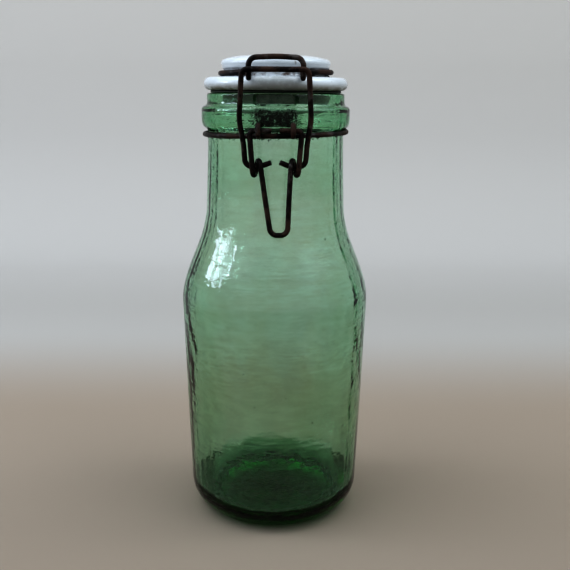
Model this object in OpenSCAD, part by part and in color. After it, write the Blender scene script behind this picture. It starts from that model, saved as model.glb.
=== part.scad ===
// Lidded glass canister: narrow-necked jar, disc lid with a seal, and a three-wire swing closure.
// Millimetres. +Z up, origin at the centre of the foot. The closure is at the front, towards -Y.

/* [Jar] */
// Largest body radius
body_r = 47.5; // [40:0.1:55]
// Body radius just above the heel
foot_body_r = 43.4; // [38:0.1:50]
// Height of the widest ring
body_top_z = 113; // [90:1:130]
// Height where the shoulder has become the neck
neck_start_z = 162; // [150:1:175]
// Neck radius
neck_r = 33.7; // [30:0.1:36]
// Bead radius
bead_r = 36.7; // [34:0.1:40]
// Rim radius
rim_r = 34; // [31:0.1:36]
// Rim height
rim_z = 215.4; // [200:0.5:225]
// Mouth radius
mouth_r = 29.3; // [28:0.1:30]
// Wall of the body
body_wall = 3.3; // [2.5:0.1:5]
// Wall of the neck
neck_wall = 2.8; // [2.4:0.1:4]
// Thickness of the glass under the floor
floor_t = 12.2; // [5:0.1:15]
// Radius of the corner inside, between wall and floor
heel_r = 6; // [4:0.5:14]

/* [Lid] */
// Flange radius
flange_r = 35.5; // [32:0.1:38]
// Knob radius
knob_r = 26.9; // [24:0.1:30]
// Underside height
lid_z = 216.7; // [210:0.1:225]
// Top of the dome
lid_top_z = 233.7; // [226:0.1:240]
// Groove radius
groove_r = 25.75; // [22:0.05:27]

/* [Wire] */
// Wire radius
wire_r = 1.25; // [0.9:0.05:1.6]
// Neck ring height
ring_z = 196.2; // [190:0.1:200]
// Bend radius of every eye
eye_r = 2.6; // [2.4:0.05:3]
// Front pivot distance from the axis
piv_y = 39.9; // [38:0.1:44]
// Rear hinge distance from the axis
hinge_y = 40.6; // [39:0.1:44]
// Rear hinge height
hinge_z = 206; // [200:0.5:210]
// Lid ring height
lidring_z = 225.1; // [222:0.1:228]

/* [Hidden] */
seg = 44;
piv_z = ring_z + eye_r;
ring_r = neck_r + 0.05 + wire_r;
bead_in_r = bead_r - 5.2;
plug_r = mouth_r - 1.1;
lidring_r = groove_r + 0.1 + wire_r;
crook = 2.65;
q_y = piv_y - crook;
q_z = 182.5;
bar_y = 43.2;
bar_z = 225.9;
bail_tilt = atan((bar_y - q_y) / (bar_z - q_z));
bail_len = sqrt(pow(bar_y - q_y, 2) + pow(bar_z - q_z, 2));
glass = [0.45, 0.66, 0.55, 0.5];
steel = [0.24, 0.17, 0.14];

// ---- helpers -------------------------------------------------------------------------------
function unit(v) = v / norm(v);
// rounded corner: n + 1 points on an arc from angle a0 to a1
function arc(cx, cy, r, a0, a1, n) =
    [for (i = [0:n]) let (a = a0 + (a1 - a0) * i / n) [cx + r * cos(a), cy + r * sin(a)]];

module rod(a, b, r) {
    v = b - a;
    translate(a) rotate([0, acos(v[2] / norm(v)), atan2(v[1], v[0])])
        cylinder(h = norm(v), r = r, $fn = seg);
}

// bend at b between a and c with centre-line radius rb
module bend(a, b, c, rb) {
    u = unit(b - a);
    w = unit(c - b);
    turn = acos(max(-1, min(1, u * w)));
    t = rb * tan(turn / 2);
    s = b - u * t;
    n = unit(cross(u, w));
    inward = cross(n, u);
    o = s + inward * rb;
    e = -inward;
    multmatrix([[e[0], u[0], n[0], o[0]], [e[1], u[1], n[1], o[1]], [e[2], u[2], n[2], o[2]],
                [0, 0, 0, 1]])
        rotate_extrude(angle = turn, $fn = 72) translate([rb, 0]) circle(r = wire_r, $fn = seg);
}

function back(a, b, c, rb) = rb * tan(acos(max(-1, min(1, unit(b - a) * unit(c - b)))) / 2);

// one round wire through points p, bent to radius r at each inner point; ends cut square
module wire(p, r, open0 = true, open1 = true) {
    n = len(p) - 1;
    lap = 0.3;
    for (i = [0:n - 1]) {
        d = unit(p[i + 1] - p[i]);
        k0 = i == 0 ? (open0 ? 0 : -lap) : back(p[i - 1], p[i], p[i + 1], r[i]) - lap;
        k1 = i == n - 1 ? (open1 ? 0 : -lap) : back(p[i], p[i + 1], p[i + 2], r[i + 1]) - lap;
        rod(p[i] + d * k0, p[i + 1] - d * k1, wire_r - 0.015);
    }
    for (i = [1:n - 1]) bend(p[i - 1], p[i], p[i + 1], r[i]);
}

// flips a path to the other side and reverses it
function mir(p) = [for (i = [len(p) - 1:-1:0]) [-p[i][0], p[i][1], p[i][2]]];
function rev(r) = [for (i = [len(r) - 1:-1:0]) r[i]];

// ---- glass jar -----------------------------------------------------------------------------
function shoulder(t) = (1 - cos(180 * pow(t, 0.92))) / 2;
function out_r(z) = z < body_top_z
    ? foot_body_r + (body_r - foot_body_r) * pow((z - 13) / (body_top_z - 13), 0.85)
    : body_r - (body_r - neck_r - 0.9) * shoulder((z - body_top_z) / (neck_start_z - body_top_z));

module glass_jar() {
    n = 16;
    zs = [for (i = [0:n]) body_top_z + (neck_start_z - body_top_z) * i / n];
    outer = concat(
        [[0, 1.6], [22, 1.4], [27.6, 0.6], [29, 0], [31.5, 0]],
        [[33.8, 0.6], [37.2, 2.6], [40.1, 5.6], [42.2, 9.2]],
        [for (z = [13, 22, 45, 70, 92, 104]) [out_r(z), z]],
        [[body_r - 0.05, body_top_z - 3]],
        [for (i = [1:n]) [out_r(zs[i]), zs[i]]],
        [[neck_r + 0.35, 178], [neck_r, 192], [neck_r, 197.9], [neck_r + 1.3, 198.5], [bead_r - 0.5, 199.8]],
        [[bead_r - 0.1, 201.6], [bead_r, 204]],
        arc(bead_r - 2.2, 207.2, 2.2, 0, 80, 6),
        [[rim_r + 0.25, 209.9], [rim_r, 210.7]],
        arc(rim_r - 1.1, rim_z - 1.1, 1.1, 0, 90, 5));
    inner = concat(
        arc(mouth_r + 0.9, rim_z - 0.9, 0.9, 90, 180, 4),
        [[mouth_r + 0.2, 210.5], [bead_in_r, 206], [bead_in_r, 203]],
        [[neck_r - neck_wall, 197], [neck_r - neck_wall, 172]],
        [for (i = [n:-1:1]) [out_r(zs[i]) - neck_wall + (neck_wall - body_wall) * (n - i) / n, zs[i]]],
        [for (z = [104, 92, 70, 45, 26]) [out_r(z) - body_wall, z]],
        arc(foot_body_r - body_wall + 0.4 - heel_r, floor_t + heel_r + 0.2, heel_r, 0, -80, 8),
        [[20, floor_t + 0.25], [0, floor_t + 0.6]]);
    color(glass) rotate_extrude($fn = 96) polygon(concat(outer, inner));
}

// ---- wire that circles the neck, with two eyes in front and two at the back -------------------
module eye(y, z) {
    // turned in the plane across X; begins at the bottom, running outwards
    translate([0, y, z]) rotate([90, 0, 90]) rotate(-90)
        rotate_extrude(angle = 318, $fn = 60) translate([eye_r, 0]) circle(r = wire_r, $fn = seg);
}

module neck_wire() {
    color(steel) {
        translate([0, 0, ring_z]) rotate_extrude($fn = 120) translate([ring_r, 0])
            circle(r = wire_r, $fn = seg);
        for (x = [-8, 8]) {
            // front: a short stem runs forward into the eye
            translate([x, 0, 0]) {
                rod([0, -(sqrt(ring_r * ring_r - 64)) + 0.2, ring_z],
                    [0, -piv_y - 0.25, ring_z], wire_r - 0.015);
                mirror([0, 1, 0]) eye(piv_y, piv_z);
            }
            // back: the stem runs out, rises and curls into the eye
            translate([x, 0, 0]) {
                wire([[0, sqrt(ring_r * ring_r - 64) - 0.2, ring_z],
                      [0, hinge_y + eye_r, ring_z], [0, hinge_y + eye_r, hinge_z]],
                     [0, 2.4, 0], true, false);
                translate([0, hinge_y, hinge_z]) rotate([90, 0, 90])
                    rotate_extrude(angle = 318, $fn = 60) translate([eye_r, 0])
                        circle(r = wire_r, $fn = seg);
            }
        }
    }
}

// ---- lid -------------------------------------------------------------------------------------
module lid() {
    fh = 3.15;
    fz = lid_z + fh;
    prof = concat(
        [[0, 210.9], [18, 210.6], [plug_r - 3.8, 210.5]],
        arc(plug_r - 3.4, 211.7, 1.2, -75, -12, 4),
        [[plug_r - 0.6, lid_z - 1.6], [plug_r, lid_z - 0.8], [plug_r, lid_z], [plug_r + 2.8, lid_z]],
        arc(flange_r - fh, fz, fh, -88, 70, 14),
        [[30, fz + fh + 0.1], [27.2, fz + fh + 0.3], [26.3, fz + fh + 0.6]],
        [[groove_r, 224], [groove_r, 226.3]],
        [[26, 226.9], [26.5, 227.4]],
        arc(knob_r - 2.1, 229.5, 2.1, -35, 62, 7),
        [[23.6, 232.05], [20.6, 232.75], [15, 233.3], [8, 233.6], [0, lid_top_z]]);
    color([0.93, 0.94, 0.95]) rotate_extrude($fn = 96) polygon(prof);
}

// ---- seal ring, carried by the lid ---------------------------------------------------------
module seal_ring() {
    z0 = rim_z + 0.05;
    z1 = lid_z - 0.02;
    r0 = plug_r + 0.05;
    r1 = rim_r - 1.8;
    color([0.12, 0.14, 0.12]) rotate_extrude($fn = 96) polygon([[r0, z0], [r1 - 0.4, z0],
        [r1, z0 + 0.4], [r1, z1 - 0.4], [r1 - 0.4, z1], [r0, z1]]);
}

// ---- wire that holds the lid: rear pins, ring arcs, front hooks and thumb loop -----------------
rear_x = 11.5;
front_x = 12.3;
tl = 2.2;
function leave(x) = asin(x / sqrt(lidring_r * lidring_r + tl * tl)) + atan(tl / lidring_r);

module lid_wire() {
    ar = leave(rear_x);
    af = leave(front_x);
    rear = [[-4, hinge_y, hinge_z], [-rear_x, hinge_y, hinge_z], [-rear_x, hinge_y, lidring_z],
        [-rear_x, lidring_r * cos(ar) + tl * sin(ar), lidring_z],
        [-lidring_r * sin(ar), lidring_r * cos(ar), lidring_z]];
    half = [[-lidring_r * sin(af), -lidring_r * cos(af), lidring_z],
        [-front_x, -lidring_r * cos(af) - tl * sin(af), lidring_z],
        [-front_x, -32.6, lidring_z], [-front_x, -35.5, 222.15], [-front_x, -40.4, 222.15],
        [-front_x, -40.4, 231]];
    rh = [0, 3, 2, 3, 2.6, 3.6];
    color(steel) {
        for (s = [0, 1]) mirror([s, 0, 0]) {
            wire(rear, [0, 2, 3, 3, 0], true, false);
            // side arc of the ring, from the back leg round to the front leg
            translate([0, 0, lidring_z]) rotate([0, 0, 90 + ar])
                rotate_extrude(angle = 180 - ar - af, $fn = 96) translate([lidring_r, 0])
                    circle(r = wire_r, $fn = seg);
        }
        wire(concat(half, [[0, -40.4, 231.6]], mir(half)), concat(rh, [80], rev(rh)), false, false);
    }
}

// ---- bail: the tall yoke that goes over the lid wire --------------------------------------------
module bail() {
    leg = [[-1.95, 0, 0], [-13.7, 0, 0], [-14.3, 0, 10], [-16.05, 0, 21.5], [-14.75, 0, bail_len]];
    rr = [0, 2.1, 25, 30, 2.7];
    color(steel) translate([0, -q_y, q_z]) rotate([bail_tilt, 0, 0])
        wire(concat(leg, mir(leg)), concat(rr, rev(rr)));
}

// ---- lever: pivots in the front eyes, crooks round the bail ends, ends in the pull loop ----------
module lever() {
    yf = -piv_y;
    yb = -piv_y + 2 * crook;
    left = [[-1.85, yf, piv_z], [-12, yf, piv_z], [-10.4, yf, 178.5], [-9.2, yb, 178.5],
        [-8.4, yb, q_z + crook], [-7.2, yf, q_z + crook]];
    v = [[-4.6, yf - 0.3, 167], [-2.1, yf - 1.2, 151], [5.8, yf - 1.2, 151],
        [6.3, yf - 0.3, 167]];
    rl = [0, 1.9, crook, crook, crook, crook];
    color(steel) wire(concat(left, v, mir(left)), concat(rl, [50, 3.6, 3.6, 40], rev(rl)));
}

glass_jar();
neck_wire();
lid();
seal_ring();
lid_wire();
bail();
lever();
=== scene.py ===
"""Lidded glass canister: meshes, materials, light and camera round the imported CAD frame."""

import math

import bmesh
import bpy
import numpy as np
from mathutils import Euler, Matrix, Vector, noise


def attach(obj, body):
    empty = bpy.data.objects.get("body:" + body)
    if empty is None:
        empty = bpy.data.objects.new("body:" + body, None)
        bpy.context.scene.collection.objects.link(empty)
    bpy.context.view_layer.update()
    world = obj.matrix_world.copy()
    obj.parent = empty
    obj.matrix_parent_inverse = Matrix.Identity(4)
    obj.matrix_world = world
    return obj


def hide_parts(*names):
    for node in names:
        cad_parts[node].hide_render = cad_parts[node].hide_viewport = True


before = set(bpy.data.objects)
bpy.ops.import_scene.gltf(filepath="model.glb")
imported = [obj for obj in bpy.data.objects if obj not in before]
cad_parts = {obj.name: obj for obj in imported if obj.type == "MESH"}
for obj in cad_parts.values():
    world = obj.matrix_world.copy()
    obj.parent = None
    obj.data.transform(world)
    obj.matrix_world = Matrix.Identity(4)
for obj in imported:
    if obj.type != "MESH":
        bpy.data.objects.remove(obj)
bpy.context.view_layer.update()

MM = 0.001
TAU = 2 * math.pi

# ---- sizes that follow part.scad, in millimetres -------------------------------------------------
BODY_R, FOOT_BODY_R, BODY_TOP_Z = 47.5, 43.4, 113.0
NECK_START_Z, NECK_R, BEAD_R = 162.0, 33.7, 36.7
RIM_R, RIM_Z, MOUTH_R = 34.0, 215.4, 29.3
BODY_WALL, NECK_WALL, FLOOR_T = 3.3, 2.8, 12.2
FLANGE_R, KNOB_R, LID_Z, LID_TOP_Z, GROOVE_R, PLUG_R = 35.5, 26.9, 216.7, 233.7, 25.75, 28.2
WIRE_R, RING_Z, EYE_R = 1.25, 196.2, 2.6
PIV_Y, HINGE_Y, HINGE_Z, LIDRING_Z = 39.9, 40.6, 206.0, 225.1
PIV_Z = RING_Z + EYE_R
EYE_X = 8.0
RING_R = NECK_R + 0.05 + WIRE_R
LIDRING_R = GROOVE_R + 0.1 + WIRE_R
CROOK = 2.65
Q_Y, Q_Z = PIV_Y - CROOK, 182.5
BAR_Y, BAR_Z = 43.2, 225.9
REAR_X, FRONT_X, TAIL = 11.5, 12.3, 2.2

# ---- what the visual adds to the CAD, in millimetres ---------------------------------------------
JAR_SIDES, LID_SIDES, WIRE_SIDES = 240, 160, 18
INNER_HEEL_R = 5.0
# the glass floor is thicker at the back: lift in the middle, and rise per mm towards the back
FLOOR_LIFT, FLOOR_RISE = 1.5, 0.12
# rise of the two bent rings per mm to the right
NECK_WIRE_RISE, LID_WIRE_RISE = 0.0206, 0.014
BUBBLES = 38
STAIN_Z = 203.6
PIT_DEPTH, WEAR_DEPTH = 0.16, 0.03


# ---- mesh helpers --------------------------------------------------------------------------------
def new_piece(name, verts, faces, body, material, slot, smooth=True):
    """A mesh piece in metres from points in millimetres, riding on a body."""
    mesh = bpy.data.meshes.new(name)
    mesh.from_pydata([tuple(float(c) * MM for c in v) for v in verts], [], faces)
    mesh.polygons.foreach_set("use_smooth", [smooth] * len(mesh.polygons))
    mesh.update()
    obj = bpy.data.objects.new(name, mesh)
    bpy.context.scene.collection.objects.link(obj)
    mesh.materials.append(material)
    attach(obj, body)
    return obj


def arc(cx, cz, r, a0, a1, n):
    return [(cx + r * math.cos(math.radians(a)), cz + r * math.sin(math.radians(a)))
            for a in np.linspace(a0, a1, n + 1)]


def smooth_path(points, step):
    """Catmull-Rom through the points, resampled about every step."""
    p = np.array(points, float)
    p = np.vstack([2 * p[0] - p[1], p, 2 * p[-1] - p[-2]])
    out = []
    for i in range(1, len(p) - 2):
        a, b, c, d = p[i - 1], p[i], p[i + 1], p[i + 2]
        # centripetal knots keep tight corners from overshooting
        t1 = math.sqrt(np.linalg.norm(b - a)) + 1e-9
        t2 = t1 + math.sqrt(np.linalg.norm(c - b)) + 1e-9
        t3 = t2 + math.sqrt(np.linalg.norm(d - c)) + 1e-9
        n = max(1, round(float(np.linalg.norm(c - b)) / step))
        for t in np.linspace(t1, t2, n, endpoint=False):
            a1 = a * (t1 - t) / t1 + b * t / t1
            a2 = b * (t2 - t) / (t2 - t1) + c * (t - t1) / (t2 - t1)
            a3 = c * (t3 - t) / (t3 - t2) + d * (t - t2) / (t3 - t2)
            b1 = a1 * (t2 - t) / t2 + a2 * t / t2
            b2 = a2 * (t3 - t) / (t3 - t1) + a3 * (t - t1) / (t3 - t1)
            out.append(b1 * (t2 - t) / (t2 - t1) + b2 * (t - t1) / (t2 - t1))
    out.append(p[-2])
    return np.array(out)


def revolve(profile, n, wobble=None):
    """Points and faces of a profile (r, z) turned about Z; a point on the axis becomes a pole."""
    verts, faces, rows = [], [], []
    turn = np.arange(n) * TAU / n
    for k, (r, z) in enumerate(profile):
        if r < 1e-6:
            rows.append([len(verts)] * n)
            verts.append((0.0, 0.0, z))
            continue
        rr = r + (wobble(k, turn) if wobble else 0)
        rows.append(list(range(len(verts), len(verts) + n)))
        verts += list(zip(rr * np.cos(turn), rr * np.sin(turn), [z] * n))
    for lo, hi in zip(rows[:-1], rows[1:]):
        for i in range(n):
            j = (i + 1) % n
            face = [lo[i], lo[j], hi[j], hi[i]]
            face = [v for q, v in enumerate(face) if v != face[q - 1]]
            if len(face) > 2:
                faces.append(face)
    return verts, faces


# ---- glass jar -----------------------------------------------------------------------------------
def shoulder(t):
    """The shoulder's course, 0 where the body ends and 1 where the neck starts."""
    return (1 - math.cos(math.pi * t ** 0.92)) / 2


def out_r(z):
    """Outer radius of the body and the shoulder."""
    if z < BODY_TOP_Z:
        return FOOT_BODY_R + (BODY_R - FOOT_BODY_R) * ((z - 13) / (BODY_TOP_Z - 13)) ** 0.85
    return BODY_R - (BODY_R - NECK_R - 0.9) * shoulder((z - BODY_TOP_Z) / (NECK_START_Z - BODY_TOP_Z))


def jar_profiles():
    """The outside from the middle of the foot to the rim, and the inside from the rim to its floor."""
    zs = [BODY_TOP_Z + (NECK_START_Z - BODY_TOP_Z) * i / 16 for i in range(17)]
    # the ring it stands on, and the rounded heel
    outer = [(0, 1.6), (22, 1.4), (27.6, 0.6), (29, 0.1), (30.2, 0.0), (31.5, 0.1)]
    outer += [(33.8, 0.6), (37.2, 2.6), (40.1, 5.6), (42.2, 9.2)]
    outer += [(out_r(z), z) for z in (13, 22, 45, 70, 92, 104)] + [(BODY_R - 0.05, BODY_TOP_Z - 3)]
    outer += [(out_r(z), z) for z in zs[1:]]
    outer += [(NECK_R + 0.35, 178), (NECK_R, 192), (NECK_R, 197.3), (NECK_R + 0.25, 198.0),
              (NECK_R + 1.3, 198.6), (BEAD_R - 0.5, 199.8), (BEAD_R - 0.1, 201.6), (BEAD_R, 204)]
    outer += arc(BEAD_R - 2.2, 207.2, 2.2, 0, 80, 6)
    outer += [(RIM_R + 0.3, 209.8), (RIM_R, 210.8)] + arc(RIM_R - 1.1, RIM_Z - 1.1, 1.1, 0, 90, 5)
    inner = arc(MOUTH_R + 0.9, RIM_Z - 0.9, 0.9, 90, 180, 4)
    inner += [(MOUTH_R + 0.2, 210.5), (BEAD_R - 5.2, 206), (BEAD_R - 5.2, 203),
              (NECK_R - NECK_WALL, 197), (NECK_R - NECK_WALL, 172)]
    inner += [(out_r(zs[i]) - NECK_WALL + (NECK_WALL - BODY_WALL) * (16 - i) / 16, zs[i])
              for i in range(16, 0, -1)]
    inner += [(out_r(z) - BODY_WALL, z) for z in (104, 92, 70, 45, 26)]
    inner += arc(FOOT_BODY_R - BODY_WALL + 0.4 - INNER_HEEL_R, FLOOR_T + INNER_HEEL_R + 0.2,
                 INNER_HEEL_R, 0, -80, 8)
    # the floor is lowest at its edge and carries faint rings from pressing
    inner += [(r, FLOOR_T + 0.6 - 0.4 * (r / 24) ** 2 + 0.06 * math.cos(2.3 * r))
              for r in np.linspace(33, 2, 40)]
    inner += [(0, FLOOR_T + 0.6)]
    return outer, inner


def waves(n, low, high, falloff, climb, seed):
    """n shallow waves as (count round the jar, size, phase, climb per mm, slow phase)."""
    r = np.random.default_rng(seed)
    return [(int(k), float(low / k) ** falloff * r.uniform(0.5, 1), r.uniform(0, TAU),
             r.uniform(-climb, climb), r.uniform(0, TAU)) for k in r.integers(low, high, n)]


def wave_sum(ws, turn, z):
    """The waves together at height z, mostly between -1 and 1."""
    total = sum(a * np.cos(m * turn + p + c * z) * (0.6 + 0.4 * math.sin(z / 17 + q))
                for m, a, p, c, q in ws)
    return total / math.sqrt(sum(a * a for _, a, _, _, _ in ws))


def fade(z, lo, hi):
    """0 at lo, 1 at hi, level beyond both."""
    return min(1.0, max(0.0, (z - lo) / (hi - lo)))


def bubbles(count):
    """Small air bubbles inside the wall, drawn out upwards: closed hollows that face inwards."""
    r = np.random.default_rng(16)
    ball = bmesh.new()
    bmesh.ops.create_icosphere(ball, subdivisions=2, radius=1.0)
    points = np.array([v.co[:] for v in ball.verts])
    faces = [[v.index for v in f.verts][::-1] for f in ball.faces]
    ball.free()
    parts = []
    for _ in range(count):
        z, turn, size = r.uniform(24, 150), r.uniform(0, TAU), r.uniform(0.12, 0.42)
        deep = out_r(z) - r.uniform(1.2, 2.1)
        centre = (deep * math.cos(turn), deep * math.sin(turn), z)
        stretched = points * (size, size, size * r.uniform(1.1, 2.2)) + centre
        parts.append(([tuple(q) for q in stretched], faces))
    return parts


def skin(path, z0, z1, a0, a1, n, lift=0.02, thick=0.05):
    """A closed thin film on the outside of a turned surface, between two heights and two angles."""
    rows = [(r, z) for r, z in path if z0 <= z <= z1]
    turn = np.radians(np.linspace(a0, a1, n + 1))
    verts, faces = [], []
    for more in (lift, lift + thick):
        verts += [((r + more) * math.sin(a), -(r + more) * math.cos(a), z)
                  for r, z in rows for a in turn]
    m, w = len(rows), n + 1
    layer = m * w
    for i in range(m - 1):
        for j in range(n):
            a, b, c, d = i * w + j, i * w + j + 1, (i + 1) * w + j + 1, (i + 1) * w + j
            faces += [(d, c, b, a), (a + layer, b + layer, c + layer, d + layer)]
    edge = ([(0, j) for j in range(n)] + [(i, n) for i in range(m - 1)]
            + [(m - 1, n - j) for j in range(n)] + [(m - 1 - i, 0) for i in range(m - 1)])
    ring = [i * w + j for i, j in edge]
    faces += [(a, b, b + layer, a + layer) for a, b in zip(ring, ring[1:] + ring[:1])]
    return verts, faces


def make_grime(stain, ring_dirt):
    """The black stain on the front of the bead, and rust shed on the neck by its wire."""
    path = smooth_path(jar_profiles()[0], 0.6)
    path = path[path[:, 0] > NECK_R - 1]
    crust = skin(path, 199.9, 209.3, -19, 19, 44)
    new_piece("bead_stain", *crust, "jar", stain, "rusty_wire")
    dust = skin(path, 192.6, 199.4, -180, 180, 180)
    new_piece("neck_rust", *dust, "jar", ring_dirt, "rusty_wire")


def make_jar(material):
    outer, inner = jar_profiles()
    po, pi = smooth_path(outer, 1.3), smooth_path(inner, 1.3)
    profile = np.vstack([po, pi[1:]])
    n_out = len(po)
    # outside: broad sinking of the mould, and finer ripples
    broad, ripple = waves(7, 2, 7, 0.8, 0.02, 11), waves(26, 14, 46, 0.3, 0.55, 12)
    # inside: lobes, draw lines that run up the jar, and slanting ripples
    lobes, draws = waves(9, 3, 11, 0.6, 0.03, 13), waves(22, 12, 60, 0.6, 0.015, 14)
    swirls = waves(18, 6, 34, 0.4, 0.35, 15)

    def wobble(k, turn):
        r, z = profile[k]
        if k < n_out:
            # shallow hollows, and none where the wire, the foot and the rim sit
            calm = fade(z, 5, 30) * fade(z, 190, 160)
            body = fade(z, 15, 60) * fade(z, 165, 145)
            return (-0.07 * calm * (1 + 0.7 * wave_sum(broad, turn, z))
                    - 0.032 * body * (1.6 + wave_sum(ripple, turn, z)))
        calm = fade(r, 8, 30) * fade(z, 212, 196)
        neck, body = fade(z, 120, 165), fade(z, 150, 120)
        return calm * (0.20 * wave_sum(lobes, turn, z) * (0.35 + body)
                       + (0.080 + 0.035 * neck) * wave_sum(draws, turn, z)
                       + 0.07 * body * wave_sum(swirls, turn, z))

    turned_verts, turned_faces = revolve(profile, JAR_SIDES, wobble)
    first_inside = JAR_SIDES * (n_out - 1)
    sloped = [(x, y, z + (FLOOR_LIFT + FLOOR_RISE * y) * fade(z, 60, 20) if i >= first_inside else z)
              for i, (x, y, z) in enumerate(turned_verts)]
    verts, faces = joined([(sloped, turned_faces)] + bubbles(BUBBLES))
    obj = new_piece("jar_glass", verts, faces, "jar", material, "green_glass")
    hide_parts("glass_jar")
    return obj


# ---- wires ---------------------------------------------------------------------------------------
def unit(v):
    return v / np.linalg.norm(v)


def rounded(points, radii, step=0.55):
    """A path with its corners turned by arcs of the given radii, sampled about every step."""
    p = [np.array(q, float) for q in points]
    out = [p[0]]
    for a, b, c, r in zip(p[:-2], p[1:-1], p[2:], radii[1:-1]):
        d0, d1 = unit(b - a), unit(c - b)
        turn = math.acos(max(-1.0, min(1.0, float(d0 @ d1))))
        side = unit(d1 - d0 * (d0 @ d1))
        start = b - d0 * r * math.tan(turn / 2)
        centre = start + side * r
        line(out, start, step)
        # no step turns by more than 0.16 radian
        n = max(3, math.ceil(turn * r / step), math.ceil(turn / 0.16))
        for t in np.linspace(0, turn, n + 1)[1:]:
            out.append(centre - side * r * math.cos(t) + d0 * r * math.sin(t))
    line(out, p[-1], step)
    return np.array(out)


def line(out, end, step):
    """Carries a path on to end in even steps."""
    start = out[-1]
    n = math.ceil(float(np.linalg.norm(end - start)) / step)
    out += [start + (end - start) * t for t in np.linspace(0, 1, n + 1)[1:]] if n else []


def mirrored(points):
    return [(-x, y, z) for x, y, z in reversed(points)]


def frames(p, closed):
    """Two axes across the path at each point, turning as little as they can, and the twist left over."""
    ahead = np.roll(p, -1, 0) - p if closed else np.vstack([p[1:] - p[:-1], p[-1:] - p[-2:-1]])
    behind = np.roll(ahead, 1, 0) if closed else np.vstack([ahead[:1], ahead[:-1]])
    tangent = np.array([unit(unit(a) + unit(b)) for a, b in zip(ahead, behind)])
    across = unit(np.cross(tangent[0], (0.31, 0.17, 0.93)))
    axes = []
    for t in tangent:
        across = unit(across - t * (across @ t))
        axes.append((across, np.cross(t, across)))
    if not closed:
        return axes, 0.0
    back = unit(axes[-1][0] - tangent[0] * (axes[-1][0] @ tangent[0]))
    return axes, math.atan2(float(back @ axes[0][1]), float(back @ axes[0][0]))


def sweep(path, closed=False, seed=0):
    """Points and faces of a wire along the path: pitted, a little uneven, its ends cut and dulled."""
    p = np.array(path, float)
    n, sides = len(p), WIRE_SIDES
    axes, twist = frames(p, closed)
    verts, faces = [], []
    for k, (u, w) in enumerate(axes):
        # a cut end is a fifth thinner than the rest, as if filed
        end = 1.0 if closed else min(1.0, 0.80 + 0.2 * min(k, n - 1 - k))
        for i in range(sides):
            a = i * TAU / sides - twist * k / n
            d = u * math.cos(a) + w * math.sin(a)
            q = p[k] + d * WIRE_R
            pit = max(0.0, noise.noise(Vector(q * 0.9) + Vector((seed, 0, 0))) - 0.12)
            wear = noise.noise(Vector(q * 0.16) + Vector((0, seed, 0)))
            verts.append(p[k] + d * (WIRE_R * end - PIT_DEPTH * pit - WEAR_DEPTH * (1 + wear)))
    for k in range(n if closed else n - 1):
        a, b = k * sides, (k + 1) % n * sides
        faces += [(a + i, a + (i + 1) % sides, b + (i + 1) % sides, b + i) for i in range(sides)]
    if not closed:
        faces += [list(range(sides))[::-1], list(range((n - 1) * sides, n * sides))]
    return verts, faces


def joined(parts):
    verts, faces = [], []
    for v, f in parts:
        faces += [[i + len(verts) for i in face] for face in f]
        verts += v
    return verts, faces


def turned(x, centre, radius, a0, a1, step=0.5):
    """Points on an arc about a centre (y, z), in the upright plane at x."""
    n = max(4, round(math.radians(abs(a1 - a0)) * radius / step))
    return [(x, centre[0] + radius * math.cos(a), centre[1] + radius * math.sin(a))
            for a in np.radians(np.linspace(a0, a1, n + 1))]


def skewed(points, slope, inner, ease=8):
    """A ring bent by hand: it rises to the right, but for the middle part, which stays level."""
    return [(x, y, z + slope * x * fade(abs(x), inner, inner + ease)) for x, y, z in points]


def neck_wire_parts():
    """The ring round the neck, with two eyes in front and two at the back."""
    ring = [(RING_R * math.cos(a), RING_R * math.sin(a), RING_Z) for a in np.arange(360) * TAU / 360]
    ring = skewed(ring, NECK_WIRE_RISE, EYE_X)
    parts = [sweep(ring, closed=True, seed=1)]
    root_y = math.sqrt(RING_R ** 2 - EYE_X ** 2)
    for x in (-EYE_X, EYE_X):
        front = [(x, -root_y + 0.3, RING_Z)] + turned(x, (-PIV_Y, PIV_Z), EYE_R, -90, -408)
        back = list(rounded([(x, root_y - 0.3, RING_Z), (x, HINGE_Y + EYE_R, RING_Z),
                             (x, HINGE_Y + EYE_R, HINGE_Z)], [0, 2.4, 0]))
        back += turned(x, (HINGE_Y, HINGE_Z), EYE_R, 0, 318)[1:]
        parts += [sweep(front, seed=2 + x), sweep(back, seed=30 + x)]
    return parts


def leave(x):
    """Angle at which the lid's ring leaves its groove to reach a leg at x."""
    return math.asin(x / math.hypot(LIDRING_R, TAIL)) + math.atan(TAIL / LIDRING_R)


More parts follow.
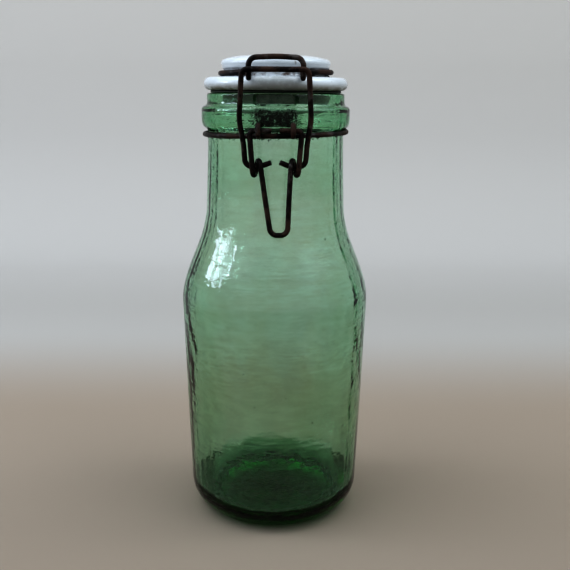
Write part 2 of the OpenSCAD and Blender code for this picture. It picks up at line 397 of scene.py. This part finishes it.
def lid_wire_path():
    """Left pin, leg, half ring and hook, then the thumb loop, then the same on the right."""
    ar, af = leave(REAR_X), leave(FRONT_X)
    rear = [(-4, HINGE_Y, HINGE_Z), (-REAR_X, HINGE_Y, HINGE_Z), (-REAR_X, HINGE_Y, LIDRING_Z),
            (-REAR_X, LIDRING_R * math.cos(ar) + TAIL * math.sin(ar), LIDRING_Z),
            (-LIDRING_R * math.sin(ar), LIDRING_R * math.cos(ar), LIDRING_Z)]
    front = [(-LIDRING_R * math.sin(af), -LIDRING_R * math.cos(af), LIDRING_Z),
             (-FRONT_X, -LIDRING_R * math.cos(af) - TAIL * math.sin(af), LIDRING_Z),
             (-FRONT_X, -32.6, LIDRING_Z), (-FRONT_X, -35.5, 222.15), (-FRONT_X, -40.4, 222.15),
             (-FRONT_X, -40.4, 231)]
    rear_run = list(rounded(rear, [0, 2, 3, 3, 0]))
    side = [(-LIDRING_R * math.sin(a), LIDRING_R * math.cos(a), LIDRING_Z)
            for a in np.linspace(ar, math.pi - af, 130)]
    bends = [0, 3, 2, 3, 2.6, 3.6]
    arch = list(rounded(front + [(0, -40.4, 231.6)] + mirrored(front), bends + [80] + bends[::-1]))
    left = rear_run + side[1:-1]
    return skewed(left + arch + mirrored(left), LID_WIRE_RISE, 13)


def bail_path():
    """The bail drawn flat, a little uneven as if bent by hand, then leaned forwards to its bar."""
    length = math.hypot(BAR_Y - Q_Y, BAR_Z - Q_Z)
    tilt = math.atan2(BAR_Y - Q_Y, BAR_Z - Q_Z)
    left = [(-1.95, 0, 1.9), (-6.6, 0, 0.1), (-13.9, 0, -0.4), (-14.6, 0, 10), (-16.6, 0, 21.5),
            (-15.3, 0, length)]
    right = [(14.75, 0, length), (16.1, 0, 21.5), (14.4, 0, 10), (13.8, 0, -0.4), (6.6, 0, 0.1),
             (1.95, 0, 1.9)]
    bends = [0, 6, 3.6, 25, 30, 2.7]
    flat = rounded(left + right, bends + bends[::-1])
    return [(x, -Q_Y - s * math.sin(tilt), Q_Z + s * math.cos(tilt)) for x, _, s in flat]


def lever_path():
    """Left pivot end and crook, the pull loop, then the same on the right."""
    yf, yb = -PIV_Y, -PIV_Y + 2 * CROOK
    left = [(-1.85, yf, PIV_Z), (-12, yf, PIV_Z), (-10.4, yf, 178.5), (-9.2, yb, 178.5),
            (-8.4, yb, Q_Z + CROOK), (-7.2, yf, Q_Z + CROOK)]
    loop = [(-4.6, yf - 0.3, 167), (-2.1, yf - 1.2, 151), (5.8, yf - 1.2, 151),
            (6.3, yf - 0.3, 167)]
    bends = [0, 1.9, CROOK, CROOK, CROOK, CROOK]
    return rounded(left + loop + mirrored(left), bends + [50, 3.6, 3.6, 40] + bends[::-1])


def make_wires(material):
    pieces = {"neck_wire": ("jar", neck_wire_parts()),
              "lid_wire": ("lid_assembly", [sweep(lid_wire_path(), seed=51)]),
              "bail": ("bail", [sweep(bail_path(), seed=71)]),
              "lever": ("lever", [sweep(lever_path(), seed=91)])}
    for name, (body, parts) in pieces.items():
        obj = new_piece(name + "_rusted", *joined(parts), body, material, "rusty_wire")
        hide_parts(name)


# ---- lid -----------------------------------------------------------------------------------------
def make_lid(material):
    round_r = 3.15
    round_z = LID_Z + round_r
    top_z = round_z + round_r
    # plug, flange, groove and knob, from the middle below to the middle above
    profile = [(0, 210.9), (18, 210.6), (PLUG_R - 3.8, 210.5)]
    profile += arc(PLUG_R - 3.4, 211.7, 1.2, -75, -12, 4)
    profile += [(PLUG_R - 0.6, LID_Z - 1.6), (PLUG_R, LID_Z - 0.8), (PLUG_R, LID_Z - 0.05),
                (PLUG_R + 2.8, LID_Z)]
    profile += arc(FLANGE_R - round_r, round_z, round_r, -88, 70, 14)
    profile += [(30, top_z + 0.1), (27.2, top_z + 0.3), (26.3, top_z + 0.6)]
    profile += [(GROOVE_R, 224.1), (GROOVE_R, 226.3), (26, 226.9), (26.5, 227.4)]
    profile += arc(KNOB_R - 2.1, 229.5, 2.1, -35, 62, 7)
    profile += [(23.6, 232.05), (20.6, 232.75), (15, 233.3), (8, 233.6), (0, LID_TOP_Z)]
    path = smooth_path(profile, 0.6)
    ws = waves(5, 2, 7, 0.8, 0.01, 21)

    def wobble(k, turn):
        r, z = path[k]
        # hand-finished: the flange and the knob are a little out of round
        return -0.05 * (1 + wave_sum(ws, turn, z)) if (r > 32 and z > LID_Z) or z > 228 else 0

    verts, faces = revolve(path, LID_SIDES, wobble)
    obj = new_piece("lid_disc", verts, faces, "lid_assembly", material, "white_glaze")
    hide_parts("lid")
    return obj


# ---- camera and light ----------------------------------------------------------------------------
def make_camera():
    """The photo's camera, solved from its rings and its outline."""
    data = bpy.data.cameras.new("camera")
    data.sensor_width = 36.0
    data.lens = 55.4
    cam = bpy.data.objects.new("camera", data)
    cam.location = (0.0, -0.4435, 0.2167)
    pitch, yaw, roll = math.radians(90 - 12.5), math.radians(-0.68), math.radians(0.45)
    cam.rotation_euler = (Euler((0, 0, yaw)).to_matrix() @ Euler((pitch, 0, 0)).to_matrix()
                          @ Euler((0, 0, roll)).to_matrix()).to_euler()
    bpy.context.scene.collection.objects.link(cam)
    bpy.context.scene.camera = cam


def area(name, size, place, aim, power, colour=(1, 1, 1)):
    data = bpy.data.lights.new(name, "AREA")
    data.shape = "RECTANGLE"
    data.size, data.size_y = size
    data.energy, data.color = power, colour
    lamp = bpy.data.objects.new(name, data)
    lamp.location = place
    lamp.visible_camera = False
    lamp.rotation_euler = (Vector(aim) - Vector(place)).to_track_quat("-Z", "Y").to_euler()
    bpy.context.scene.collection.objects.link(lamp)


def pane(turn, rise, width, height, power):
    """A window pane 1 m from the jar, turned from the front towards the left and raised, in degrees."""
    t, e = math.radians(turn), math.radians(rise)
    spot = (-math.sin(t) * math.cos(e), -math.cos(t) * math.cos(e), 0.13 + math.sin(e))
    area("pane", (width, height), spot, (0, 0, 0.13), power, (0.74, 0.80, 1.0))


def make_dome():
    """A soft sky: neutral at eye level, bluish overhead, and brightest high on both sides."""
    world = bpy.data.worlds.new("studio")
    bpy.context.scene.world = world
    world.use_nodes = True
    tree = world.node_tree
    back = tree.nodes["Background"]
    back.inputs["Strength"].default_value = 0.57
    split = tree.nodes.new("ShaderNodeSeparateXYZ")
    link(tree, tree.nodes.new("ShaderNodeTexCoord").outputs["Generated"], split.inputs[0])
    way = split.outputs
    sky = blend(tree, spread(tree, way["Z"], 0.05, 0.9), (0.92, 0.94, 0.94), (0.86, 0.97, 1.09))
    sideways = spread(tree, calc(tree, "ABSOLUTE", way["X"], 0), 0.35, 0.85)
    sides = calc(tree, "MULTIPLY", sideways, spread(tree, way["Z"], 0.22, 0.55))
    link(tree, blend(tree, sides, sky, (1.9, 2.15, 2.4)), back.inputs["Color"])


def make_light():
    # daylight from both sides, a little more from the left
    area("left_sky", (0.7, 0.6), (-0.60, -0.30, 1.30), (0, 0.15, 0.1), 2.2, (0.92, 0.97, 1.0))
    area("right_sky", (0.7, 0.6), (0.65, -0.25, 1.30), (0, 0.15, 0.1), 1.8)
    area("backdrop_wash", (3.0, 0.3), (0.0, 0.06, 1.35), (0, 0.55, 0.15), 5.0)
    # the panes of a window on the left, seen as the ragged gleam on the shoulder:
    # turn and rise in degrees, width and height in metres, power in watts
    panes = ((97, 15, 0.16, 0.13, 0.47),
             (85, 18, 0.14, 0.15, 0.47),
             (90, 27, 0.20, 0.06, 0.24),
             (75, 18, 0.09, 0.17, 0.27),
             (66, 23, 0.06, 0.08, 0.15))
    for one in panes:
        pane(*one)


def make_stage(material):
    """A pale floor that sweeps up into a backdrop behind the jar."""
    half, front, back, bend, top, n = 1.8, -1.8, 0.62, 0.25, 1.5, 12
    outline = [(front, 0.0), (back, 0.0)]
    outline += [(back + bend * math.sin(a), bend * (1 - math.cos(a)))
                for a in np.linspace(0, math.pi / 2, n + 1)[1:]]
    outline.append((back + bend, top))
    verts = [(x, y, z) for y, z in outline for x in (-half, half)]
    faces = [(2 * i, 2 * i + 1, 2 * i + 3, 2 * i + 2) for i in range(len(outline) - 1)]
    mesh = bpy.data.meshes.new("floor")
    mesh.from_pydata(verts, [], faces)
    mesh.polygons.foreach_set("use_smooth", [True] * len(mesh.polygons))
    mesh.materials.append(material)
    obj = bpy.data.objects.new("floor", mesh)
    bpy.context.scene.collection.objects.link(obj)


# ---- materials -----------------------------------------------------------------------------------
def blank(name):
    mat = bpy.data.materials.new(name)
    mat.use_nodes = True
    tree = mat.node_tree
    return mat, tree, tree.nodes["Principled BSDF"]


def link(tree, source, target):
    tree.links.new(source, target)


def place(tree):
    """The piece's own coordinates in metres, and their x, y, z."""
    where = tree.nodes.new("ShaderNodeTexCoord").outputs["Object"]
    split = tree.nodes.new("ShaderNodeSeparateXYZ")
    link(tree, where, split.inputs[0])
    return where, split.outputs


def clouds(tree, where, scale, detail=3.0, rough=0.5, stretch=(1, 1, 1), shift=(0, 0, 0)):
    """Fractal noise from about 0 to 1; scale is in waves per metre."""
    mapping = tree.nodes.new("ShaderNodeMapping")
    mapping.inputs["Scale"].default_value = stretch
    mapping.inputs["Location"].default_value = shift
    link(tree, where, mapping.inputs["Vector"])
    n = tree.nodes.new("ShaderNodeTexNoise")
    n.inputs["Scale"].default_value = scale
    n.inputs["Detail"].default_value = detail
    n.inputs["Roughness"].default_value = rough
    link(tree, mapping.outputs[0], n.inputs["Vector"])
    return n.outputs["Fac"]


def spread(tree, value, lo, hi, to_lo=0.0, to_hi=1.0):
    """Maps lo..hi to to_lo..to_hi smoothly and holds both ends."""
    n = tree.nodes.new("ShaderNodeMapRange")
    n.interpolation_type = "SMOOTHSTEP"
    for name, v in (("From Min", lo), ("From Max", hi), ("To Min", to_lo), ("To Max", to_hi)):
        n.inputs[name].default_value = v
    link(tree, value, n.inputs["Value"])
    return n.outputs[0]


def calc(tree, how, a, b):
    n = tree.nodes.new("ShaderNodeMath")
    n.operation = how
    for socket, v in zip(n.inputs, (a, b)):
        if isinstance(v, (int, float)):
            socket.default_value = v
        else:
            link(tree, v, socket)
    return n.outputs[0]


def blend(tree, factor, a, b):
    """Colour a where factor is 0, colour b where it is 1."""
    n = tree.nodes.new("ShaderNodeMix")
    n.data_type = "RGBA"
    link(tree, factor, n.inputs["Factor"])
    for socket, v in ((n.inputs["A"], a), (n.inputs["B"], b)):
        if isinstance(v, tuple):
            socket.default_value = v + (1,)
        else:
            link(tree, v, socket)
    return n.outputs["Result"]


def bump(tree, height, depth, target):
    """Bump of the given depth in metres for a height from 0 to 1."""
    n = tree.nodes.new("ShaderNodeBump")
    n.inputs["Distance"].default_value = depth
    link(tree, height, n.inputs["Height"])
    link(tree, n.outputs[0], target)


def radius(tree, xyz):
    """Distance from the jar's axis."""
    squares = [calc(tree, "MULTIPLY", xyz[c], xyz[c]) for c in ("X", "Y")]
    return calc(tree, "SQRT", calc(tree, "ADD", *squares), 0)


def stage_material():
    """Matt paint: a warm pale floor that fades into a neutral pale backdrop."""
    mat, tree, p = blank("stage_paint")
    p.inputs["Roughness"].default_value = 0.9
    p.inputs["Specular IOR Level"].default_value = 0.2
    _, xyz = place(tree)
    # the floor is warm round the jar and pale further away; in front of the jar it is darkened by painted
    # shade
    near = spread(tree, xyz["Y"], 0.05, -0.30, 1.0, 0.74)
    # blending from black scales the colour
    warm = blend(tree, near, (0.0, 0.0, 0.0), (0.305, 0.258, 0.212))
    far = spread(tree, xyz["Y"], 0.12, 0.34)
    aside = spread(tree, calc(tree, "ABSOLUTE", xyz["X"], 0), 0.42, 0.90)
    paler = blend(tree, far, warm, (0.38, 0.365, 0.345))
    ground = blend(tree, aside, paler, (0.62, 0.60, 0.57))
    # the bend gets less light than the floor, so its paint is lighter, and the wall's is lighter still
    foot = blend(tree, spread(tree, xyz["Y"], 0.40, 0.70), ground, (0.45, 0.436, 0.418))
    wall = blend(tree, spread(tree, xyz["Z"], 0.14, 0.28), foot, (0.50, 0.487, 0.468))
    link(tree, wall, p.inputs["Base Color"])
    return mat


def glass_tint(tree, where, xyz):
    """A greyish and brownish film of old dirt, thickest in the body and washed off near the floor."""
    below_neck = spread(tree, xyz["Z"], 0.178, 0.135, 0.75, 1.0)
    dirty = calc(tree, "MULTIPLY", below_neck, spread(tree, xyz["Z"], 0.020, 0.060))
    smear = clouds(tree, where, 38, 4.0, 0.6, stretch=(1, 1, 0.5))
    mottle = clouds(tree, where, 150, 4.0, 0.65, stretch=(0.5, 0.5, 2.0))
    patchy = calc(tree, "ADD", calc(tree, "MULTIPLY", smear, 0.5), calc(tree, "MULTIPLY", mottle, 0.5))
    amount = calc(tree, "MULTIPLY", dirty, spread(tree, patchy, 0.38, 0.62, 0.15, 1.0))
    cloudy = clouds(tree, where, 24, 3.0, 0.6, stretch=(1, 1, 0.6), shift=(0.4, 0, 0.2))
    brown = spread(tree, cloudy, 0.42, 0.60)
    dirt = blend(tree, brown, (0.912, 0.862, 0.862), (0.937, 0.866, 0.815))
    return blend(tree, amount, (1.0, 1.0, 0.99), dirt)


def glass_skin(tree, where):
    """The skin of the mould: small dimples, and laps that run round the body."""
    dimples = clouds(tree, where, 210, 2.0, 0.5)
    laps = clouds(tree, where, 70, 3.0, 0.55, stretch=(0.35, 0.35, 3.0))
    grain = clouds(tree, where, 430, 2.0, 0.5, stretch=(0.8, 0.8, 1.3))
    fine = calc(tree, "ADD", calc(tree, "MULTIPLY", dimples, 0.7), calc(tree, "MULTIPLY", grain, 0.3))
    return calc(tree, "ADD", fine, laps)


def glass_material():
    """Green glass coloured by its depth, with old dirt on it and the skin of the mould."""
    mat, tree, p = blank("green_glass")
    where, xyz = place(tree)
    p.inputs["Transmission Weight"].default_value = 1.0
    p.inputs["IOR"].default_value = 1.5
    # handled for decades: faint cloudy film here and there, and a scuffed ring where it stands
    film = clouds(tree, where, 55, 4.0, 0.6)
    scuffed = spread(tree, xyz["Z"], 0.0014, 0.0002, 0.0, 0.35)
    haze = calc(tree, "ADD", spread(tree, film, 0.5, 0.75, 0.0, 0.07), scuffed)
    link(tree, haze, p.inputs["Roughness"])
    link(tree, glass_tint(tree, where, xyz), p.inputs["Base Color"])
    bump(tree, glass_skin(tree, where), 0.00020, p.inputs["Normal"])
    absorb = tree.nodes.new("ShaderNodeVolumeAbsorption")
    # absorption per metre of glass in red, green and blue
    take = (110.0, 42.0, 84.0)
    dense = 200.0
    absorb.inputs["Color"].default_value = tuple(1 - t / dense for t in take) + (1,)
    absorb.inputs["Density"].default_value = dense
    link(tree, absorb.outputs[0], tree.nodes["Material Output"].inputs["Volume"])
    return mat


def lid_film_and_shade(tree, xyz, patchy):
    """Painted shade and a grey-brown film of dirt, darker towards the flange's lower edge."""
    low = spread(tree, xyz["Z"], 0.2206, 0.2168)
    return calc(tree, "MULTIPLY", low, spread(tree, patchy, 0.30, 0.62, 0.45, 1.0))


def lid_rust_and_shade(tree, xyz, patchy):
    """Rusty dirt and painted shade in the groove, under the wire."""
    inside = spread(tree, radius(tree, xyz), 0.0280, 0.0264)
    above = spread(tree, xyz["Z"], 0.2226, 0.2240)
    below = spread(tree, xyz["Z"], 0.2276, 0.2262)
    groove = calc(tree, "MULTIPLY", inside, calc(tree, "MULTIPLY", above, below))
    return calc(tree, "MULTIPLY", groove, spread(tree, patchy, 0.42, 0.62, 0.12, 0.95))


def lid_marks(tree, where, fine):
    """Specks and short scuffs."""
    specks = spread(tree, fine, 0.69, 0.74)
    scuffs = clouds(tree, where, 260, 2.0, 0.5, stretch=(1, 1, 0.25))
    return calc(tree, "MAXIMUM", specks, spread(tree, scuffs, 0.70, 0.76, 0, 0.6))


def lid_front_shade_and_wear(tree, xyz, patchy):
    """Painted shade with some grey wear from handling, at the front of the flange between the legs of the
    wires.
    """
    middle = spread(tree, calc(tree, "ABSOLUTE", xyz["X"], 0), 0.0170, 0.0070)
    front = spread(tree, xyz["Y"], -0.0270, -0.0330)
    flange = calc(tree, "MULTIPLY", front, spread(tree, xyz["Z"], 0.2250, 0.2228))
    return calc(tree, "MULTIPLY", calc(tree, "MULTIPLY", middle, flange),
                spread(tree, patchy, 0.30, 0.60, 0.35, 0.8))


def lid_plug(tree, xyz):
    """1 on the plug, where painted shade from inside the jar's mouth and stain from old rubber darken it.
    """
    return calc(tree, "MULTIPLY", spread(tree, xyz["Z"], 0.2171, 0.2165),
                spread(tree, radius(tree, xyz), 0.0330, 0.0300))


def lid_material():
    """White opaque glass with a soft bloom; dirt and painted shade in its corners and at its front; a
    plug with painted shade and stain.
    """
    mat, tree, p = blank("white_glaze")
    where, xyz = place(tree)
    patchy = clouds(tree, where, 190, 5.0, 0.65)
    fine = clouds(tree, where, 700, 4.0, 0.6)
    # the film and rust masks each hold painted shade as well as dirt
    film, rust = lid_film_and_shade(tree, xyz, patchy), lid_rust_and_shade(tree, xyz, patchy)
    marks, front_shade_and_wear = lid_marks(tree, where, fine), lid_front_shade_and_wear(tree, xyz, patchy)
    # the plug's colour: painted shade from inside the mouth, with stain from old rubber
    plug_shade_and_stain = blend(tree, spread(tree, patchy, 0.35, 0.65), (0.055, 0.052, 0.034), (0.13, 0.12, 0.085))
    tone = spread(tree, clouds(tree, where, 40, 3.0, 0.5), 0.35, 0.65)
    colour = blend(tree, tone, (0.53, 0.575, 0.61), (0.60, 0.645, 0.68))
    # each blend paints one mask's colour; film, rust, the front patch and the plug are partly painted
    # shade
    for amount, paint in ((film, (0.19, 0.185, 0.135)), (rust, (0.085, 0.05, 0.032)),
                          (marks, (0.16, 0.14, 0.11)), (front_shade_and_wear, (0.27, 0.285, 0.28)),
                          (lid_plug(tree, xyz), plug_shade_and_stain)):
        colour = blend(tree, amount, colour, paint)
    link(tree, colour, p.inputs["Base Color"])
    # rougher where the masks above mark dirt, the painted-shade parts included
    dirt = calc(tree, "MAXIMUM", calc(tree, "MAXIMUM", film, rust),
                calc(tree, "MAXIMUM", front_shade_and_wear, marks))
    link(tree, spread(tree, dirt, 0.0, 0.9, 0.13, 0.6), p.inputs["Roughness"])
    p.inputs["Coat Weight"].default_value = 0.3
    p.inputs["Coat Roughness"].default_value = 0.06
    swell = clouds(tree, where, 90, 2.0, 0.5)
    bump(tree, calc(tree, "ADD", swell, calc(tree, "MULTIPLY", fine, 0.06)), 0.00035, p.inputs["Normal"])
    return mat


def wire_material():
    """Old steel wire: almost black oxide, brown rust, and greyer patches of rubbed steel and painted
    sheen.
    """
    mat, tree, p = blank("rusty_wire")
    where, _ = place(tree)
    broad = clouds(tree, where, 110, 4.0, 0.6)
    fine = clouds(tree, where, 900, 5.0, 0.7)
    grain = clouds(tree, where, 2600, 3.0, 0.6)
    rust = spread(tree, calc(tree, "ADD", calc(tree, "MULTIPLY", broad, 0.65),
                             calc(tree, "MULTIPLY", fine, 0.35)), 0.44, 0.58)
    colour = blend(tree, rust, (0.013, 0.0095, 0.0085), (0.052, 0.028, 0.019))
    bright = spread(tree, fine, 0.60, 0.72, 0.0, 0.8)
    colour = blend(tree, calc(tree, "MULTIPLY", bright, rust), colour, (0.11, 0.052, 0.030))
    # grey patches: rubbed steel, with a painted sheen
    rubbed_and_sheen = spread(tree, clouds(tree, where, 160, 3.0, 0.55, shift=(0.3, 0.1, 0.7)), 0.56, 0.68, 0, 0.75)
    colour = blend(tree, rubbed_and_sheen, colour, (0.10, 0.092, 0.088))
    link(tree, colour, p.inputs["Base Color"])
    link(tree, spread(tree, rust, 0.0, 1.0, 0.38, 0.78), p.inputs["Roughness"])
    link(tree, spread(tree, rust, 0.0, 1.0, 0.65, 0.15), p.inputs["Metallic"])
    bump(tree, calc(tree, "ADD", fine, calc(tree, "MULTIPLY", grain, 0.5)), 0.00012, p.inputs["Normal"])
    return mat


def stain_material():
    """Black crust, dense in the middle and broken into specks at its edges."""
    mat, tree, p = blank("black_stain")
    where, xyz = place(tree)
    side = spread(tree, calc(tree, "ABSOLUTE", xyz["X"], 0), 0.0174, 0.0045)
    height = calc(tree, "ABSOLUTE", calc(tree, "SUBTRACT", xyz["Z"], STAIN_Z * MM), 0)
    core = calc(tree, "MULTIPLY", side, spread(tree, height, 0.0070, 0.0014))
    specks = calc(tree, "ADD", calc(tree, "MULTIPLY", clouds(tree, where, 560, 5.0, 0.75), 0.5),
                  calc(tree, "MULTIPLY", clouds(tree, where, 2300, 3.0, 0.6), 0.5))
    cover = spread(tree, calc(tree, "ADD", calc(tree, "MULTIPLY", core, 0.25), specks), 0.60, 0.77)
    link(tree, calc(tree, "MULTIPLY", cover, 0.97), p.inputs["Alpha"])
    tone = spread(tree, specks, 0.45, 0.65)
    link(tree, blend(tree, tone, (0.004, 0.006, 0.003), (0.020, 0.020, 0.012)), p.inputs["Base Color"])
    p.inputs["Roughness"].default_value = 0.7
    bump(tree, specks, 0.00012, p.inputs["Normal"])
    return mat


def ring_dirt_material():
    """Rust dust on the glass, thickest where the neck wire touches it."""
    mat, tree, p = blank("rust_dust")
    where, xyz = place(tree)
    wire_z = calc(tree, "ADD", calc(tree, "MULTIPLY", xyz["X"], NECK_WIRE_RISE), RING_Z * MM)
    away = calc(tree, "ABSOLUTE", calc(tree, "SUBTRACT", xyz["Z"], wire_z), 0)
    near = spread(tree, away, 0.0034, 0.0008)
    specks = clouds(tree, where, 800, 5.0, 0.7)
    cover = spread(tree, calc(tree, "ADD", calc(tree, "MULTIPLY", near, 0.22), specks), 0.66, 0.80)
    link(tree, calc(tree, "MULTIPLY", cover, 0.8), p.inputs["Alpha"])
    link(tree, blend(tree, specks, (0.010, 0.007, 0.005), (0.07, 0.038, 0.02)), p.inputs["Base Color"])
    p.inputs["Roughness"].default_value = 0.85
    return mat


def seal_material():
    """Perished rubber: dull, greenish black, chalky in patches."""
    mat, tree, p = blank("aged_rubber")
    where, xyz = place(tree)
    patches = spread(tree, clouds(tree, where, 240, 4.0, 0.6), 0.40, 0.66)
    aged = blend(tree, patches, (0.030, 0.042, 0.028), (0.075, 0.092, 0.070))
    # painted shade: black along its top, in the shadow under the flange
    link(tree, blend(tree, spread(tree, xyz["Z"], 0.2160, 0.2165), aged, (0.006, 0.008, 0.006)),
         p.inputs["Base Color"])
    link(tree, spread(tree, patches, 0.0, 1.0, 0.5, 0.85), p.inputs["Roughness"])
    bump(tree, clouds(tree, where, 1100, 4.0, 0.6), 0.00015, p.inputs["Normal"])
    return mat


def dress(node_name, material):
    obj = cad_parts[node_name]
    obj.data.materials.clear()
    obj.data.materials.append(material)


# ---- the scene -----------------------------------------------------------------------------------
# as contrasty as the photo
bpy.context.scene.view_settings.view_transform = "Standard"
bpy.context.scene.view_settings.look = "Very High Contrast"
make_camera()
make_dome()
make_light()
make_stage(stage_material())
make_jar(glass_material())
make_grime(stain_material(), ring_dirt_material())
make_lid(lid_material())
make_wires(wire_material())
dress("seal_ring", seal_material())
